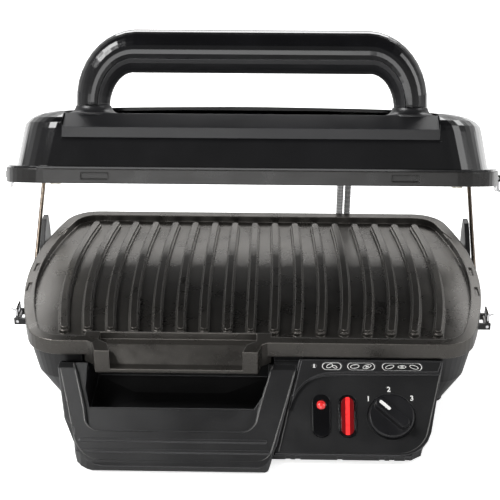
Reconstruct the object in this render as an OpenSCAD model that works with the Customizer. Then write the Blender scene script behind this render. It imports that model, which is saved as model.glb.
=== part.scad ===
// Electric indoor grill with two ribbed plates, a lid on two lift arms and a sliding drip tray.
// X runs to the right, Y to the back and Z up. The origin is under the middle of the whole grill, on the table.

/* [Overall] */
// Depth from the front of the drip tray to the back of the base
overall_d = 305; // [295:1:330]
// Height of the tops of the lower plate's ribs above the table
cook_z = 66; // [62:1:72]

/* [Plates] */
// Width of the lower plate at its widest
plate_w = 366; // [340:1:400]
// Depth of the lower plate
plate_d = 228; // [215:1:240]
// Radius of the plate's corners
plate_corner = 28; // [20:1:34]
// How far each side of a plate bows outwards
plate_bow = 15; // [8:1:18]
// Height of a plate's rim
rim_h = 12; // [10:0.5:14]
// Width of the flat top of the lower rim
rim_w = 8; // [6:0.5:10]
// Thickness of a plate's floor
plate_t = 3; // [2.5:0.5:4]
// Number of ribs on each plate
rib_count = 17; // [11:2:19]
// Distance from one rib to the next
rib_pitch = 17.5; // [14:0.5:18.5]
// Width of a rib at its foot
rib_w = 8; // [6:0.5:9]
// Height of a rib
rib_h = 5.5; // [4:0.5:7]
// Length of a rib
rib_len = 190; // [160:1:196]
// Share by which the ribs spread apart at mid-length
rib_spread = 0.07; // [0:0.01:0.09]

/* [Lid] */
// How much wider and deeper the lid is than the lower plate
lid_over = 6; // [2:1:10]
// Height of the metal band round the lid
band_h = 10; // [8:0.5:14]
// Height of the lid's dome above the band's lower edge
dome_h = 56; // [50:1:66]
// Thickness of the lid's moulded wall
lid_wall = 2.5; // [2:0.5:4]
// Gap between the two rims when the lid is closed
closed_gap = 2; // [1.5:0.5:4]
// Tilt of the lid at rest, front edge up
lid_tilt = 21.9; // [10:0.1:30]
// Height of the middle of the lid's rim at rest above the ribs
lid_rise = 84; // [80:1:100]
// How far the lid's middle lies ahead of the plate's at rest
lid_ahead = 8; // [0:1:12]

/* [Handle] */
// Width of the handle outside its legs
handle_w = 250; // [220:1:270]
// Diameter of the handle's grip
grip_dia = 31; // [26:1:36]
// Height of the top of the grip above the lid's rim
handle_top = 109; // [98:1:114]
// Width of the panel that carries the handle
handle_panel_w = 262; // [235:1:280]
// Distance from the lid's middle forward to the grip
handle_ahead = 78; // [60:1:80]

/* [Lift arms] */
// Diameter of the arm wire
arm_dia = 3.5; // [3:0.5:4.5]
// Distance of each arm's plane from the middle
arm_x = 189; // [184:0.5:210]
// Height of the arms' lower pivot
arm_pivot_z = 36; // [30:1:42]
// Distance of the lid's hinge line behind the lid's back edge
hinge_behind = 15; // [12:1:20]
// Distance of the hinge line below the lid's rim
hinge_below = 2; // [1:0.5:4]

/* [Front] */
// Slope of the control panel from the table
front_slope = 35; // [30:1:40]
// Length of the control panel up its slope
panel_len = 73; // [66:1:76]
// Height of the panel's lower edge
panel_z = 10; // [8:1:12]
// How far the tray's front stands ahead of the panel's lower edge
tray_ahead = 12; // [8:1:16]
// Width of the whole front at its top
front_w = 286; // [270:1:300]
// Width of the whole front at its foot
front_foot_w = 254; // [240:1:264]
// Where the tray and the panel meet at the top
split_top_x = 36; // [30:1:42]
// Where the tray and the panel meet at the foot
split_foot_x = 19; // [14:1:28]

/* [Controls] */
// Diameter of the thermostat knob
knob_dia = 33; // [28:1:38]
// Diameter of the thermostat's shaft
shaft_dia = 6; // [5:0.5:7]
// Width of the frames of the switch and the pilot lamp
pill_w = 13.5; // [12:0.5:15]
// Length of the frames of the switch and the pilot lamp
pill_len = 33; // [30:1:36]
// Turn of the knob from 1 to 3
knob_turn = 105; // [90:5:120]

/* [Clearances] */
// Radial clearance of a pin or shaft in its hole
pin_clear = 0.06; // [0.03:0.01:0.08]
// Gap between the drip tray and its bay
tray_clear = 0.8; // [0.5:0.1:1.5]
// Gap between neighbouring fixed pieces
seat_gap = 0.3; // [0.2:0.05:0.5]

/* [Hidden] */
$fn = 48;

front_y = -overall_d / 2;
back_y = overall_d / 2;
back_wall = 6;
plate_y = back_y - back_wall - plate_d / 2;
rim_z = cook_z + 0.5;
floor_z = cook_z - rib_h;
under_z = rim_z - rim_h;

// Lid and its two hinge lines
lid_w = plate_w + lid_over;
lid_d = plate_d + lid_over * 2 / 3;
lid_y = plate_y - lid_ahead;
lid_z = cook_z + lid_rise;
hinge_u = lid_d / 2 + hinge_behind;
hinge_v = -hinge_below;
hinge_y = lid_y + hinge_u * cos(lid_tilt) + hinge_v * sin(lid_tilt);
hinge_z = lid_z - hinge_u * sin(lid_tilt) + hinge_v * cos(lid_tilt);
closed_y = plate_y + hinge_u;
closed_z = rim_z + closed_gap + hinge_v;
// The lower pivot lies as far from the hinge line at rest as from the hinge line when closed.
mid_y = (hinge_y + closed_y) / 2;
mid_z = (hinge_z + closed_z) / 2;
arm_pivot_y = mid_y - (mid_z - arm_pivot_z) * (hinge_z - closed_z) / (closed_y - hinge_y);
arm_angle = atan2(hinge_z - arm_pivot_z, hinge_y - arm_pivot_y);
arm_closed_angle = atan2(closed_z - arm_pivot_z, closed_y - arm_pivot_y);
arm_len = norm([hinge_y - arm_pivot_y, hinge_z - arm_pivot_z]);

// Front
panel_y = front_y + tray_ahead;

// The outline of a plate or the lid: bowed sides and round corners.
function barrel(w, d, bow, r, n = 7) =
    let (
        hd = d / 2,
        turn = atan(2 * bow / (hd - 0.7 * r)),
        side_y = hd - r + r * sin(turn),
        rise = side_y * tan(turn) / 2,
        corner_x = w / 2 - rise - r * cos(turn),
        side = [for (i = [0:n]) let (y = side_y * i / n) [w / 2 - rise * pow(y / side_y, 2), y]],
        arc = [for (i = [1:n]) let (a = turn + (90 - turn) * i / n) [corner_x + r * cos(a), hd - r + r * sin(a)]],
        quarter = concat(side, arc)
    )
    concat(
        quarter,
        [for (i = [len(quarter) - 1:-1:0]) [-quarter[i].x, quarter[i].y]],
        [for (i = [1:len(quarter) - 1]) [-quarter[i].x, -quarter[i].y]],
        [for (i = [len(quarter) - 1:-1:1]) [quarter[i].x, -quarter[i].y]]
    );

function plate_outline(inset = 0) =
    barrel(plate_w - 2 * inset, plate_d - 2 * inset, plate_bow, max(plate_corner - inset, 6));

function lid_outline(inset = 0) =
    barrel(lid_w - 2 * inset, lid_d - 2 * inset, plate_bow, max(plate_corner + 2 - inset, 6));

// A slab of the plate's outline between two heights.
module plate_slab(z0, z1, inset = 0) {
    translate([0, plate_y, z0])
        linear_extrude(z1 - z0)
            polygon(plate_outline(inset));
}

module lid_slab(v0, v1, inset = 0) {
    translate([0, 0, v0])
        linear_extrude(v1 - v0)
            polygon(lid_outline(inset));
}

// Places children drawn in the lid's own frame: Y along its depth, Z square to its rim.
module in_lid() {
    translate([0, lid_y, lid_z])
        rotate([-lid_tilt, 0, 0])
            children();
}

// Places children drawn on the control panel: Y up the slope, Z square out of it.
module on_panel() {
    translate([0, panel_y, panel_z])
        rotate([front_slope, 0, 0])
            children();
}

// A rod along X between two places.
module x_rod(x0, x1, r) {
    translate([x0, 0, 0])
        rotate([0, 90, 0])
            cylinder(h = x1 - x0, r = r);
}

// A profile drawn in Y and Z, drawn out along X.
module x_prism(x0, x1, points) {
    translate([x0, 0, 0])
        rotate([90, 0, 90])
            linear_extrude(x1 - x0)
                polygon(points);
}

// A profile drawn in X and Z, drawn out along Y.
module y_prism(y0, y1, points) {
    translate([0, y1, 0])
        rotate([90, 0, 0])
            linear_extrude(y1 - y0)
                polygon(points);
}

module both_sides() {
    for (side = [0, 1])
        mirror([side, 0, 0])
            children();
}

/* Plates */

// Ribs that spread apart towards the middle of the plate, each in two steps. They stand on z = 0.
module ribs(height, steps = 2) {
    function rib_x(i, y) = i * rib_pitch * (1 + rib_spread * (1 - pow(2 * y / rib_len, 2)));
    side_points = 8;
    last = (rib_count - 1) / 2;
    for (i = [-last:last])
        for (step = [0:steps - 1]) {
            half_w = rib_w / 2 - step * rib_w / 6;
            half_len = rib_len / 2 - half_w - step * rib_w / 6;
            ys = [for (k = [0:side_points]) half_len * (2 * k / side_points - 1)];
            outline = concat(
                [for (y = ys) [rib_x(i, y) + half_w, y]],
                [for (a = [30:30:150]) [rib_x(i, half_len) + half_w * cos(a), half_len + half_w * sin(a)]],
                [for (k = [side_points:-1:0]) [rib_x(i, ys[k]) - half_w, ys[k]]],
                [for (a = [210:30:330]) [rib_x(i, half_len) + half_w * cos(a), -half_len + half_w * sin(a)]]
            );
            translate([0, 0, step * height * 0.55])
                linear_extrude(step == steps - 1 ? height * (1 - 0.55 * step) : height * 0.55)
                    polygon(outline);
        }
}

// The spout at the front left of the lower plate, over the drip tray
spout_x = [-112, 5];
spout_wall = 11;
spout_reach = 14;
spout_lip_z = cook_z - 15;
plate_front_y = plate_y - plate_d / 2;

// The spout's outline in plan, narrower at its lip than at its root.
function spout_plan(inset) = [
    [spout_x[0] - spout_wall + inset, plate_front_y + 14],
    [spout_x[0] - spout_wall + inset, plate_front_y + 2],
    [spout_x[0] - 4 + inset, plate_front_y - 3],
    [spout_x[0] - 1 + inset, plate_front_y - spout_reach],
    [spout_x[1] + 1 - inset, plate_front_y - spout_reach],
    [spout_x[1] + 4 - inset, plate_front_y - 3],
    [spout_x[1] + spout_wall - inset, plate_front_y + 2],
    [spout_x[1] + spout_wall - inset, plate_front_y + 14]
];

module lower_plate() {
    color("#3b3531")
        difference() {
            union() {
                difference() {
                    plate_slab(under_z, rim_z);
                    plate_slab(floor_z, rim_z + 1, rim_w);
                    plate_slab(under_z - 1, floor_z - plate_t, rim_w - plate_t);
                }
                translate([0, plate_y, floor_z])
                    ribs(rib_h);
                // The ridge that the ribs' ends run out to
                translate([spout_x[0], plate_front_y + rim_w - 2, floor_z - plate_t])
                    cube([spout_x[1] - spout_x[0], 6, plate_t + 1.5]);
                translate([0, 0, spout_lip_z - plate_t])
                    linear_extrude(rim_z - spout_lip_z + plate_t)
                        polygon(spout_plan(0));
            }
            // The channel down the spout
            intersection() {
                translate([0, 0, spout_lip_z - 1])
                    linear_extrude(rim_z - spout_lip_z + 2)
                        polygon(spout_plan(spout_wall));
                x_prism(spout_x[0] - 20, spout_x[1] + 20, [
                    [plate_front_y + 13, rim_z + 2],
                    [plate_front_y + 13, floor_z],
                    [plate_front_y + 6, floor_z],
                    [plate_front_y - 7, spout_lip_z],
                    [plate_front_y - spout_reach - 1, spout_lip_z],
                    [plate_front_y - spout_reach - 1, rim_z + 2]
                ]);
            }
            // The spout is open below, ahead of the reflector
            x_prism(spout_x[0] - 3, spout_x[1] + 3, [
                [plate_front_y + 14, under_z - 8],
                [plate_front_y + 14, floor_z - plate_t],
                [plate_front_y + 5, floor_z - plate_t],
                [plate_front_y - 7, spout_lip_z - plate_t],
                [plate_front_y - 7, under_z - 8]
            ]);
            // Slots behind the side latches and at the rim's back corners
            both_sides() {
                for (y = [plate_y - 38, plate_y - 4])
                    translate([plate_w / 2 - 6, y, rim_z - 1.2])
                        cube([2.4, 14, 2]);
                translate([plate_w / 2 - 14, plate_y + 62, rim_z - 1.2])
                    rotate([0, 0, 24])
                        cube([2.4, 18, 2]);
            }
        }
}

// The lid's plate: a metal band round the lid with ribs that face down.
band_tab_x = 107;
band_tab_w = 19;

module upper_plate() {
    color("#3a3330")
        in_lid() {
            difference() {
                lid_slab(0, band_h);
                lid_slab(-1, rib_h, lid_over / 2 + rim_w);
                lid_slab(rib_h + plate_t, band_h + 1, plate_t);
                // Two recessed tabs on the front of the band
                for (side = [-1, 1])
                    difference() {
                        translate([side * band_tab_x - band_tab_w / 2, -lid_d / 2 - 1, 3])
                            cube([band_tab_w, 14, 4.5]);
                        lid_slab(0, band_h, 1.3);
                    }
            }
            mirror([0, 0, 1])
                translate([0, 0, -rib_h])
                    ribs(rib_h - 0.5, 1);
            both_sides()
                translate(upper_latch_at)
                    latch_ears();
        }
}

/* Base */

base_foot_inset = 18;
base_top_z = under_z - seat_gap;
base_foot_z = 6;
tray_bay_back_y = plate_front_y + 46;
cover_t = 2.5;

// The bowl under the plate: wide at its rim and drawn in at its foot.
module bowl(inset, z0, z1) {
    hull() {
        translate([0, plate_y, z1 - 0.5])
            linear_extrude(0.5)
                polygon(plate_outline(2 + inset));
        translate([0, plate_y, (z0 + z1) / 2])
            linear_extrude(0.5)
                polygon(plate_outline(2 + base_foot_inset * 0.25 + inset));
        translate([0, plate_y, z0])
            linear_extrude(0.5)
                polygon(plate_outline(2 + base_foot_inset + inset));
    }
}

// Half the width of the front, and where tray and panel meet, at a distance up the slope.
function front_edge_x(v) = front_foot_w / 2 + (front_w - front_foot_w) / 2 * v / panel_len;
function split_x(v) = split_foot_x + (split_top_x - split_foot_x) * v / panel_len;

panel_t = 3;
panel_back_y = plate_front_y + 20;
block_wall = 2.5;

// The box under the control panel, cut off at the panel's slope.
module front_block(inset, sink = 0) {
    w = panel_t + sink;
    foot_y = panel_y + w * sin(front_slope);
    foot_z = panel_z - w * cos(front_slope);
    run_y = (panel_len + 4) * cos(front_slope);
    run_z = (panel_len + 4) * sin(front_slope);
    intersection() {
        x_prism(0, front_w, [
            [foot_y, base_foot_z - 3],
            [foot_y, foot_z],
            [foot_y + run_y, foot_z + run_z],
            [panel_back_y, foot_z + run_z],
            [panel_back_y, base_foot_z - 3]
        ]);
        translate([0, 0, base_foot_z - 2])
            linear_extrude(under_z - seat_gap - base_foot_z + 2)
                polygon([
                    [split_foot_x - 12, panel_y + inset],
                    [front_foot_w / 2 - 14 - inset * 0.6, panel_y + inset],
                    [front_foot_w / 2 - 3 - inset, panel_y + 8 + inset * 0.4],
                    [front_w / 2 - inset, panel_back_y - inset],
                    [split_foot_x - 12, panel_back_y - inset]
                ]);
    }
}

// The tray's place seen from the front: it widens upwards, and its sides run straight back.
bay_lean = (split_top_x - split_foot_x) / (panel_len * sin(front_slope));
bay_left_lean = (front_w - front_foot_w) / 2 / (panel_len * sin(front_slope));

function bay_right_x(z) = split_foot_x + bay_lean * (z - panel_z);
function bay_left_x(z) = -front_foot_w / 2 - bay_left_lean * (z - panel_z);
function bay_profile(grow, z0, z1) = [
    [bay_left_x(z0) - grow, z0],
    [bay_right_x(z0) + grow, z0],
    [bay_right_x(z1) + grow, z1],
    [bay_left_x(z1) - grow, z1]
];

bay_top_z = spout_lip_z - plate_t - 1;

module tray_bay(grow = 0) {
    y_prism(panel_y - 30, tray_bay_back_y + grow, bay_profile(grow, -1, bay_top_z + grow));
}

// Clears the bowl beside the tray's front
module tray_side_room() {
    translate([-front_w / 2 - 40, panel_y - 30, -1])
        cube([60, plate_front_y + 2 - panel_y + 30, bay_top_z + 1]);
}

// Fin posts at the back corners, just outside the lid
post_x0 = lid_w / 2 - 5;
post_x1 = lid_w / 2 - 1;

module post() {
    x_prism(post_x0, post_x1, [
        [plate_y + 46, base_top_z - 8],
        [plate_y + 46, base_top_z],
        [plate_y + 52, rim_z - 4],
        [plate_y + 70, rim_z + 12],
        [plate_y + 80, rim_z + 12],
        [plate_y + 84, rim_z - 2],
        [plate_y + 84, base_top_z - 8]
    ]);
}

boss_x0 = plate_w / 2 - 26;
boss_x1 = plate_w / 2 + 1.5;
bush_r = 4.5;
arm_boss_r = 7.5;

module base_housing() {
    color("#161616")
        difference() {
            union() {
                difference() {
                    union() {
                        bowl(0, base_foot_z, base_top_z);
                        front_block(0);
                    }
                    difference() {
                        union() {
                            bowl(3, base_foot_z - 1, base_top_z + 1);
                            front_block(block_wall);
                            front_block(block_wall, 1);
                        }
                        difference() {
                            tray_bay(block_wall);
                            translate([0, 0, -0.5])
                                tray_bay();
                        }
                    }
                    tray_bay();
                    tray_side_room();
                }
                both_sides() {
                    post();
                    // Seat of the arm's bush
                    translate([0, arm_pivot_y, arm_pivot_z])
                        x_rod(boss_x0, boss_x1, arm_boss_r);
                    // Ledge that carries the post
                    translate([post_x0 - 16, plate_y + 46, base_top_z - 8])
                        cube([post_x1 - post_x0 + 16, 38, 5]);
                }
                both_sides()
                    translate(lower_latch_at)
                        latch_ears();
                // Ledge that closes the skirt's notches at the back
                translate([22, panel_y + block_wall - 0.2, base_foot_z + seat_gap])
                    cube([96, 2.2, 1.4]);
                // Screw posts for the bottom cover
                for (x = [-cover_screw_x, cover_screw_x], y = cover_screw_y)
                    translate([x, y, base_foot_z + seat_gap])
                        cylinder(h = 14, r = 5);
                intersection() {
                    for (y = cover_screw_y)
                        translate([-plate_w / 2, y - 1.25, base_foot_z + seat_gap])
                            difference() {
                                cube([plate_w, 2.5, 14]);
                                translate([plate_w / 2 - cover_screw_x, -1, -1])
                                    cube([2 * cover_screw_x, 5, 16]);
                            }
                    bowl(1, base_foot_z, base_top_z);
                }
            }
            both_sides()
                translate([0, arm_pivot_y, arm_pivot_z])
                    x_rod(boss_x0 - 1, boss_x1 + 1, bush_r + 0.02);
            for (x = [-cover_screw_x, cover_screw_x], y = cover_screw_y)
                translate([x, y, base_foot_z - 1])
                    cylinder(h = 12, r = 1.6);
            // Seat of the bottom cover
            translate([0, 0, base_foot_z - cover_t - 1])
                linear_extrude(cover_t + 1)
                    cover_plan();
            // Room for the plate's spout
            translate([spout_x[0] - spout_wall - 2, plate_front_y - 30, bay_top_z])
                cube([spout_x[1] - spout_x[0] + 2 * spout_wall + 4, 46, 20]);
            // Notches in the skirt below the control panel
            for (x = [27, 34, 64, 94, 101, 112])
                translate([x, panel_y - 3, base_foot_z - 3])
                    cube([3.5, 3 + block_wall + 0.6, 4.5]);
            // Air slots in the back wall
            for (i = [-9:9])
                if (abs(i * 12 - link_x) > 16 && abs(i * 12 - gland_x) > 16)
                    translate([i * 12 - 1.5, back_y - 40, 22])
                        cube([3, 60, 16]);
            // Holes for the link lead and the mains inlet gland
            translate([link_x, link_foot_y, link_foot_z])
                rotate([-90, 0, 0])
                    translate([0, 0, -30])
                        cylinder(h = 60, r = 7);
            translate([gland_x, back_y - 40, gland_z])
                rotate([-90, 0, 0])
                    cylinder(h = 60, r = gland_r);
        }
}

cover_screw_x = plate_w / 2 - base_foot_inset - 18;
cover_screw_y = [plate_y - 20, plate_y + 46];
link_x = 79;
link_foot_y = back_y - back_wall - 6;
link_foot_z = base_top_z - 12;
gland_x = -120;
gland_z = 36;
gland_r = 6;

// The bottom cover's outline: the bowl's foot, with a tongue under the tray and the controls.
module cover_plan() {
    translate([0, plate_y])
        polygon(plate_outline(2 + base_foot_inset + 0.5));
    polygon([
        [-front_foot_w / 2 + 12, panel_y + 8],
        [split_foot_x - 1, panel_y + 8],
        [split_foot_x + 6, panel_y + 7],
        [front_foot_w / 2 - 18, panel_y + 7],
        [front_foot_w / 2 - 8, panel_y + 12],
        [front_foot_w / 2 - 2, plate_y - 60],
        [-front_foot_w / 2 + 6, plate_y - 60]
    ]);
}

module bottom_cover() {
    color("#1b1b1b")
        difference() {
            translate([0, 0, base_foot_z - cover_t])
                linear_extrude(cover_t)
                    cover_plan();
            for (x = [-cover_screw_x, cover_screw_x], y = cover_screw_y)
                translate([x, y, 0])
                    cylinder(h = 20, r = 2.2);
            // Air slots under the heater
            for (x = [-70:14:70])
                translate([x - 2, plate_y + 30, 0])
                    cube([4, 50, 20]);
        }
}

foot_x = [134, 96];
foot_y = [plate_y + 84, panel_y + 22];

module feet() {
    color("#2a2a2a")
        for (side = [-1, 1], i = [0, 1])
            translate([side * foot_x[i], foot_y[i], 0])
                difference() {
                    cylinder(h = base_foot_z - cover_t, r1 = 8.5, r2 = 9.5);
                    translate([0, 0, -1])
                        cylinder(h = 2, r = 3);
                }
}

module bottom_screws() {
    color("silver")
        for (x = [-cover_screw_x, cover_screw_x], y = cover_screw_y)
            translate([x, y, 0]) {
                translate([0, 0, base_foot_z - cover_t - 1.8])
                    difference() {
                        cylinder(h = 1.8, r = 3.6);
                        translate([-0.5, -3, -1])
                            cube([1, 6, 1.8]);
                        translate([-3, -0.5, -1])
                            cube([6, 1, 1.8]);
                    }
                translate([0, 0, base_foot_z - cover_t])
                    cylinder(h = 11, r = 1.55);
            }
}

// Bright tray under the heater, on four legs that stand on the bottom cover.
reflector_inset = 34;
reflector_z = floor_z - plate_t - 16;

module lower_reflector() {
    color("#a8a8a8")
        difference() {
            union() {
                difference() {
                    translate([0, 0, reflector_z])
                        reflector_slab(12, 0);
                    translate([0, 0, reflector_z + 0.8])
                        reflector_slab(12, 0.8);
                }
                for (x = [-96, 96], y = [plate_y + 6, plate_y + 58])
                    translate([x, y, base_foot_z])
                        cylinder(h = reflector_z - base_foot_z + 0.4, r = 4);
            }
        }
}

// The reflector keeps behind the tray's bay.
module reflector_slab(h, inset) {
    back = plate_d - reflector_inset;
    translate([0, tray_bay_back_y + block_wall + 4 + inset, 0])
        linear_extrude(h)
            polygon([
                [-plate_w / 2 + reflector_inset + inset, 0],
                [plate_w / 2 - reflector_inset - inset, 0],
                [plate_w / 2 - reflector_inset - inset, 128 - 2 * inset],
                [-plate_w / 2 + reflector_inset + inset, 128 - 2 * inset]
            ]);
}

// A tubular element bent into a loop, with two cold ends. It lies on z = 0.
heater_r = 3.2;
heater_w = 236;
heater_d = 84;
heater_bend = 20;

module heater_loop() {
    straight_w = heater_w / 2 - heater_bend;
    straight_d = heater_d / 2 - heater_bend;
    module leg_x(x0, x1, y) {
        translate([0, y, 0])
            x_rod(x0, x1, heater_r);
    }
    leg_x(-straight_w, straight_w, heater_d / 2);
    leg_x(-straight_w, -30, -heater_d / 2);
    leg_x(30, straight_w, -heater_d / 2);
    for (sx = [-1, 1]) {
        translate([sx * heater_w / 2, -straight_d, 0])
            rotate([-90, 0, 0])
                cylinder(h = 2 * straight_d, r = heater_r);
        for (sy = [-1, 1])
            translate([sx * straight_w, sy * straight_d, 0])
                rotate([0, 0, sx > 0 ? (sy > 0 ? 0 : -90) : (sy > 0 ? 90 : 180)])
                    rotate_extrude(angle = 90)
                        translate([heater_bend, 0])
                            circle(r = heater_r);
        translate([sx * 30 - (sx > 0 ? 12 : 0), -heater_d / 2, 0])
            x_rod(0, 12, heater_r + 0.2);
    }
}

// The heater is held against the plate's underside, one seat gap off it.
module lower_heater() {
    color("#4a4a4c")
        translate([0, plate_y + 14, floor_z - plate_t - heater_r - seat_gap])
            heater_loop();
}

/* Control panel and its controls */

pilot_x = 52.5;
switch_x = 71.5;
knob_x = 103;
control_v = 29;
strip_v = 60;
pill_sink = 1.2;

// A slot with round ends, standing along the slope.
module pill(w, len, h) {
    union() {
        translate([-w / 2, -(len - w) / 2, 0])
            cube([w, len - w, h]);
        for (y = [-(len - w) / 2, (len - w) / 2])
            translate([0, y, 0])
                cylinder(h = h, r = w / 2);
    }
}

// The panel's outline, with a large round corner at its lower right.
function panel_plan(inset) =
    let (r = 24 - inset, cx = front_edge_x(24) - 24, cy = 24)
    concat(
        [[split_foot_x + 0.6 + inset, inset], [cx, inset]],
        [for (a = [-75:15:-7]) [cx + r * cos(a), cy + r * sin(a)]],
        [[front_w / 2 - inset, panel_len - inset], [split_top_x + 0.6 + inset, panel_len - inset]]
    );

// The raised strip along the panel's top, with its curved lower left edge.
function strip_plan(inset) =
    let (x0 = split_x(strip_tip_v) + 1.2, rise = strip_v + inset - strip_tip_v)
    concat(
        [[x0 + inset, strip_tip_v]],
        [for (t = [0.125:0.125:1]) [x0 + inset + 25 * t * t + 8 * t, strip_tip_v + rise * sin(90 * t)]],
        [
            [front_w / 2 - 3 - inset, strip_v + 1.5 + inset],
            [front_w / 2 - inset, panel_len - inset],
            [split_top_x + 0.6 + inset, panel_len - inset]
        ]
    );

strip_h = 3.2;
strip_tip_v = 33;

module control_panel() {
    color("#202020")
        on_panel()
            difference() {
                union() {
                    translate([0, 0, -panel_t])
                        linear_extrude(panel_t)
                            polygon(panel_plan(0));
                    // Stepped strip for the symbols
                    translate([0, 0, -1])
                        linear_extrude(strip_h * 0.55 + 1)
                            polygon(strip_plan(0.4));
                    translate([0, 0, -1])
                        linear_extrude(strip_h + 1)
                            polygon(strip_plan(1.8));
                }
                for (x = [pilot_x, switch_x])
                    translate([x, control_v, -panel_t - 1])
                        pill(pill_w - 3, pill_len - 3, panel_t + 5);
                for (x = [pilot_x, switch_x])
                    translate([x, control_v, -pill_sink])
                        pill(pill_w, pill_len, 5);
                translate([knob_x, control_v, -panel_t - 1])
                    cylinder(h = panel_t + 5, r = shaft_dia / 2 + 1.5);
                // Shallow seat under the knob
                translate([knob_x, control_v, -1])
                    cylinder(h = 5, r = knob_dia / 2 + 1.2);
                // Recesses for the symbols
                translate([strip_mark_x[0], strip_mark_v, strip_h - 0.4])
                    cylinder(h = 2, r = 1.6);
                for (i = [1:3])
                    translate([strip_mark_x[i], strip_mark_v, strip_h - 0.4])
                        rotate([0, 0, 90])
                            pill(6.4, strip_mark_len[i], 2);
            }
}

// Places along the strip of a thermometer mark and three pills
strip_mark_v = 66.8;
strip_mark_x = [47.5, 60.5, 82, 112];
strip_mark_len = [0, 15, 21, 30];

module pilot_holder() {
    color("#0c0c0c")
        on_panel()
            translate([pilot_x, control_v, 0])
                difference() {
                    union() {
                        translate([0, 0, -pill_sink])
                            pill(pill_w - 2 * seat_gap, pill_len - 2 * seat_gap, pill_sink + 1.4);
                        translate([0, 0, -panel_t - 7])
                            pill(pill_w - 3 - 2 * seat_gap, pill_len - 3 - 2 * seat_gap, panel_t + 7);
                    }
                    translate([0, 8, -panel_t - 8])
                        cylinder(h = 20, r = 3.4 + seat_gap / 2);
                }
}

module pilot_lens() {
    color("#c01818")
        on_panel()
            translate([pilot_x, control_v + 8, -panel_t - 6])
                union() {
                    cylinder(h = panel_t + 7.4, r = 3.4);
                    intersection() {
                        translate([0, 0, panel_t + 4.4])
                            sphere(r = 4.5);
                        translate([0, 0, panel_t + 7.3])
                            cylinder(h = 4, r = 3.4);
                    }
                }
}

rocker_depth = 4;
rocker_tilt = 6;

module switch_body() {
    color("#101010")
        on_panel()
            translate([switch_x, control_v, 0])
                difference() {
                    union() {
                        translate([0, 0, -pill_sink])
                            pill(pill_w - 2 * seat_gap, pill_len - 2 * seat_gap, pill_sink + 1.2);
                        translate([0, 0, -panel_t - 12])
                            pill(pill_w - 3 - 2 * seat_gap, pill_len - 3 - 2 * seat_gap, panel_t + 12);
                    }
                    translate([0, 0, -panel_t - 7])
                        pill(pill_w - 3.6, pill_len - 3.6, 20);
                    translate([0, 0, -rocker_depth])
                        x_rod(-pill_w / 2 + 1, pill_w / 2 - 1, 1 + pin_clear);
                }
}

// The rocker turns on a pin across the switch. Its top is cut to a shallow V.
module switch_rocker() {
    half = pill_len / 2 - 2.4;
    color("#d01a12")
        on_panel()
            translate([switch_x, control_v, -rocker_depth]) {
                rotate([rocker_tilt, 0, 0])
                    intersection() {
                        translate([0, 0, -6])
                            pill(pill_w - 4.4, pill_len - 5, 20);
                        x_prism(-pill_w / 2, pill_w / 2, [
                            [-half, 6.4], [0, 5.2], [half, 6.4], [half * 0.86, -0.5], [0, -2.6], [-half * 0.86, -0.5]
                        ]);
                    }
                x_rod(-pill_w / 2 + 1.3, pill_w / 2 - 1.3, 1);
            }
}

module thermostat() {
    color("silver")
        on_panel()
            translate([knob_x, control_v, 0]) {
                // Body behind the panel
                difference() {
                    translate([-14, -10, -panel_t - 10])
                        cube([28, 26, 9.4]);
                    translate([0, 0, -panel_t - 4])
                        difference() {
                            cylinder(h = 6, r = 18);
                            cylinder(h = 6, r = 8);
                        }
                }
                // Shaft with a flat
                translate([0, 0, -panel_t - 1])
                    difference() {
                        cylinder(h = panel_t + 9, r = shaft_dia / 2);
                        translate([shaft_dia / 2 - 1, -5, panel_t + 3])
                            cube([4, 10, 8]);
                    }
            }
}

knob_rest_turn = 48;
knob_disc_h = 4.5;
knob_bar_h = 12;

module in_knob() {
    on_panel()
        translate([knob_x, control_v, -1 + seat_gap])
            rotate([0, 0, knob_rest_turn])
                children();
}

module thermostat_knob() {
    bar_w = 8.5;
    bar_len = knob_dia - 3;
    color("#141414")
        in_knob()
            difference() {
                union() {
                    cylinder(h = knob_disc_h - 1, r = knob_dia / 2);
                    translate([0, 0, knob_disc_h - 1])
                        cylinder(h = 1, r1 = knob_dia / 2, r2 = knob_dia / 2 - 1);
                    pill(bar_w, bar_len, knob_bar_h - 1);
                    translate([0, 0, knob_bar_h - 1])
                        pill(bar_w - 1.6, bar_len - 1.6, 1);
                }
                translate([0, 0, -1])
                    cylinder(h = 10, r = shaft_dia / 2 + pin_clear);
                // Groove that the pointer is pressed into
                translate([0, bar_len / 2 - 8, knob_bar_h - 0.6])
                    pill(2.4, 10, 2);
            }
}

module knob_pointer() {
    color("white")
        in_knob()
            translate([0, (knob_dia - 3) / 2 - 8, knob_bar_h - 0.6])
                pill(2.3, 9.9, 0.9);
}

/* Lift arms and their bushes */

arm_bend = 3.2;
bend_slack = 0.04;
weld = 0.1;
arm_pin_in = 22;
hinge_pin_in = 17;

module arm_bushes() {
    color("#b8b4a8")
        both_sides()
            translate([0, arm_pivot_y, arm_pivot_z])
                difference() {
                    union() {
                        x_rod(boss_x0 + 1, boss_x1, bush_r);
                        x_rod(boss_x1, boss_x1 + 1, bush_r + 2);
                    }
                    x_rod(boss_x0, boss_x1 + 2, arm_dia / 2 + pin_clear);
                }
}

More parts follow.
